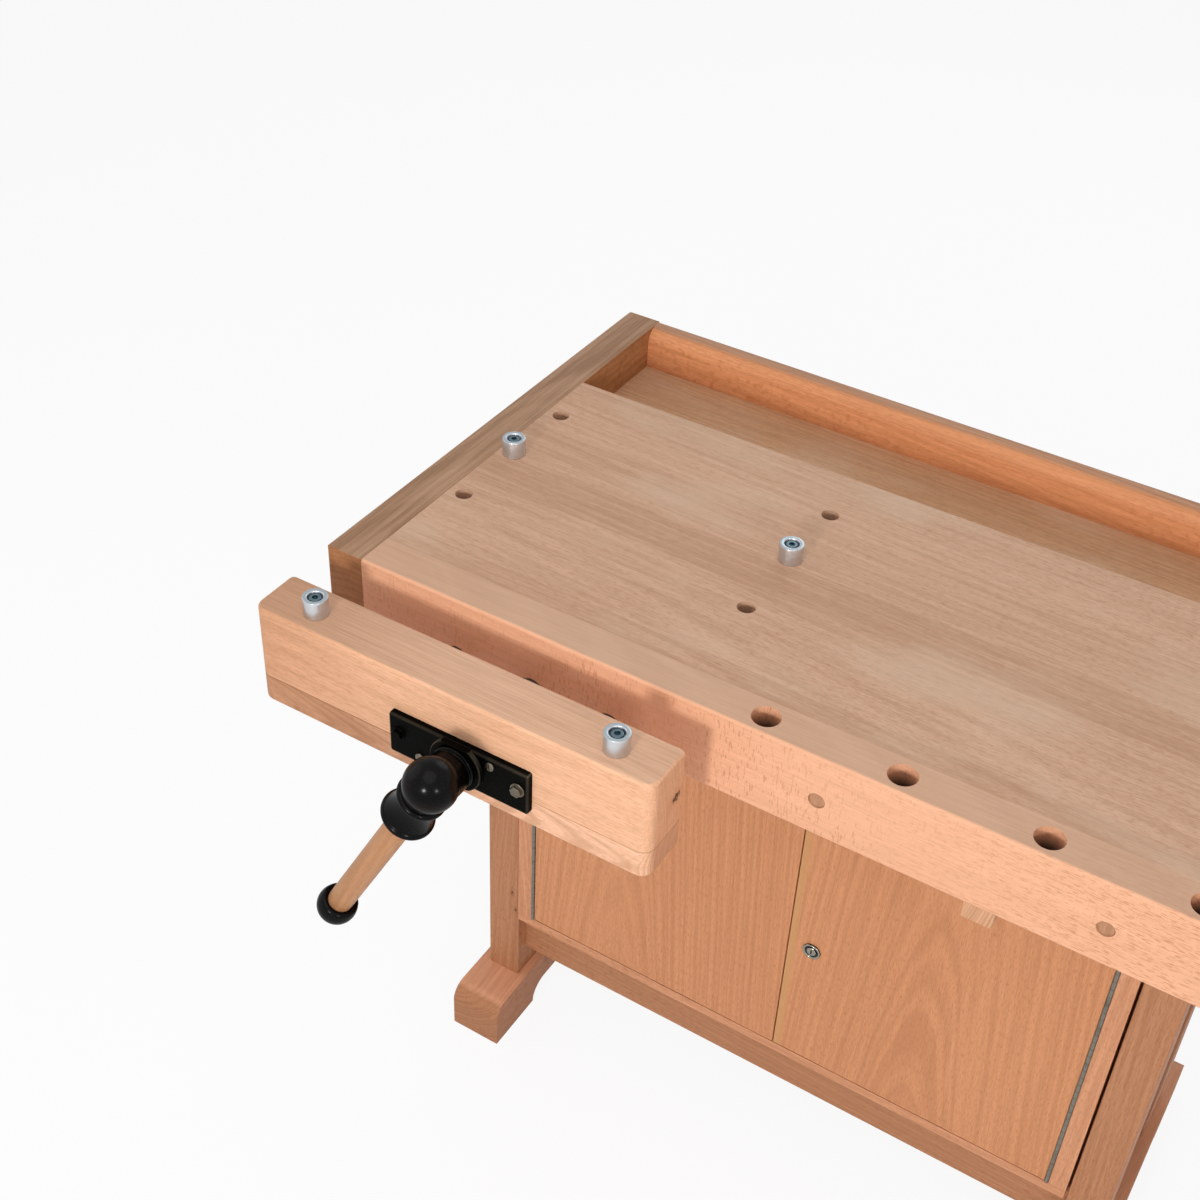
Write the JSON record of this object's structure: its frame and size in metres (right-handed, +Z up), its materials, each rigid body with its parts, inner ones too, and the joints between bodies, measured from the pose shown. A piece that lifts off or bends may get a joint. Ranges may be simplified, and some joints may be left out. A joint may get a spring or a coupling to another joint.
{
  "type": "woodworking bench",
  "caption": "Beech joiner's bench with front and end screw vises, round bench dogs, a tool tray and a two-door cabinet between trestle legs.",
  "frame": {"origin": "middle of the whole bench's footprint, on the floor", "axes": "+X along the bench to the end vise, +Y from the front vise to the tool tray, +Z up"},
  "size_m": [1.6984, 0.8584, 0.872],
  "materials": {
    "beech": "planed beech, oiled",
    "beech_top": "worn beech with wood dust",
    "beech_frame": "oiled beech",
    "beech_panel": "beech veneer, satin",
    "beech_turned": "turned beech",
    "black_lacquer": "gloss black",
    "black_plastic": "gloss black, scuffed",
    "black_iron": "painted black",
    "steel": "bright drawn",
    "aluminium": "turned",
    "nickel": "nickel plated"
  },
  "bodies": {
    "bench": {"front_apron": "beech", "cross_bearer": "beech", "bench_top": "beech_top", "left_end_cap": "beech_top", "right_end_cap": "beech_top", "tray_floor": "beech_top", "apron_plug_1": "beech_top", "apron_plug_2": "beech_top", "apron_plug_3": "beech_top", "tray_back_rail": "beech_frame", "left_front_leg": "beech_frame", "left_back_leg": "beech_frame", "right_front_leg": "beech_frame", "right_back_leg": "beech_frame", "left_foot": "beech_frame", "right_foot": "beech_frame", "left_head_rail": "beech_frame", "right_head_rail": "beech_frame", "front_stretcher": "beech_frame", "back_stretcher": "beech_frame", "cabinet_left_side": "beech_panel", "cabinet_right_side": "beech_panel", "cabinet_bottom": "beech_panel", "cabinet_top": "beech_panel", "cabinet_back": "beech_panel", "cabinet_shelf": "beech_panel", "front_vise_nut": "black_iron", "end_vise_nut": "black_iron", "left_hinge_case_leaf": "steel", "right_hinge_case_leaf": "steel"},
    "front_jaw": {"front_jaw": "beech", "front_jaw_lower_strip": "beech_top", "front_vise_plate": "black_iron", "front_left_guide_rod": "steel", "front_right_guide_rod": "steel"},
    "front_screw": {"front_vise_screw": "steel", "front_handle_hub": "black_lacquer", "front_handle_bar": "beech_turned", "front_handle_cap": "black_plastic"},
    "end_jaw": {"end_jaw": "beech", "end_vise_plate": "black_iron", "end_left_guide_rod": "steel", "end_right_guide_rod": "steel"},
    "end_screw": {"end_vise_screw": "steel", "end_handle_hub": "black_lacquer", "end_handle_bar": "beech_turned", "end_handle_cap": "black_plastic"},
    "left_door": {"left_door": "beech_panel", "left_hinge_door_leaf": "steel"},
    "right_door": {"right_door": "beech_panel", "right_hinge_door_leaf": "steel", "lock_housing": "nickel"},
    "lock": {"lock_plug": "nickel", "lock_cam": "steel"},
    "dog_jaw_left": {"bench_dog_jaw_left": "aluminium"},
    "dog_jaw_right": {"bench_dog_jaw_right": "aluminium"},
    "dog_top_left": {"bench_dog_top_left": "aluminium"},
    "dog_top_right": {"bench_dog_top_right": "aluminium"}
  },
  "joints": [
    {"name": "front_vise_slide", "type": "slide", "parent": "bench", "child": "front_jaw", "axis": [0, -1, 0], "range_m": [-0.05992, 0.12002]},
    {"name": "front_screw_spin", "type": "hinge", "parent": "front_jaw", "child": "front_screw", "pos_m": [-0.58322, -0.40078, 0.7735], "axis": [0, -1, 0], "range_deg": [-3594, 7200]},
    {"name": "end_vise_slide", "type": "slide", "parent": "bench", "child": "end_jaw", "axis": [1, 0, 0], "range_m": [-0.02992, 0.12002]},
    {"name": "end_screw_spin", "type": "hinge", "parent": "end_jaw", "child": "end_screw", "pos_m": [0.82078, 0.02022, 0.7735], "axis": [1, 0, 0], "range_deg": [-1794, 7200]},
    {"name": "left_door_hinge", "type": "hinge", "parent": "bench", "child": "left_door", "pos_m": [-0.68072, -0.04078, 0.433], "axis": [0, 0, -1], "range_deg": [0, 76]},
    {"name": "right_door_hinge", "type": "hinge", "parent": "bench", "child": "right_door", "pos_m": [0.04028, -0.04078, 0.433], "axis": [0, 0, 1], "range_deg": [0, 105]},
    {"name": "lock_turn", "type": "hinge", "parent": "right_door", "child": "lock", "pos_m": [-0.28922, -0.04078, 0.3945], "axis": [0, 1, 0], "range_deg": [0, 90]},
    {"name": "dog_jaw_left_lift", "type": "slide", "parent": "front_jaw", "child": "dog_jaw_left", "axis": [0, 0, 1], "range_m": [0, 0.06]},
    {"name": "dog_jaw_right_lift", "type": "slide", "parent": "front_jaw", "child": "dog_jaw_right", "axis": [0, 0, 1], "range_m": [0, 0.06]},
    {"name": "dog_top_left_lift", "type": "slide", "parent": "bench", "child": "dog_top_left", "axis": [0, 0, 1], "range_m": [0, 0.06]},
    {"name": "dog_top_right_lift", "type": "slide", "parent": "bench", "child": "dog_top_right", "axis": [0, 0, 1], "range_m": [0, 0.06]}
  ],
  "couplings": [
    {"joint": "front_vise_slide", "follows": "front_screw_spin", "m_per_rad": 0.00095493},
    {"joint": "end_vise_slide", "follows": "end_screw_spin", "m_per_rad": 0.00095493}
  ]
}
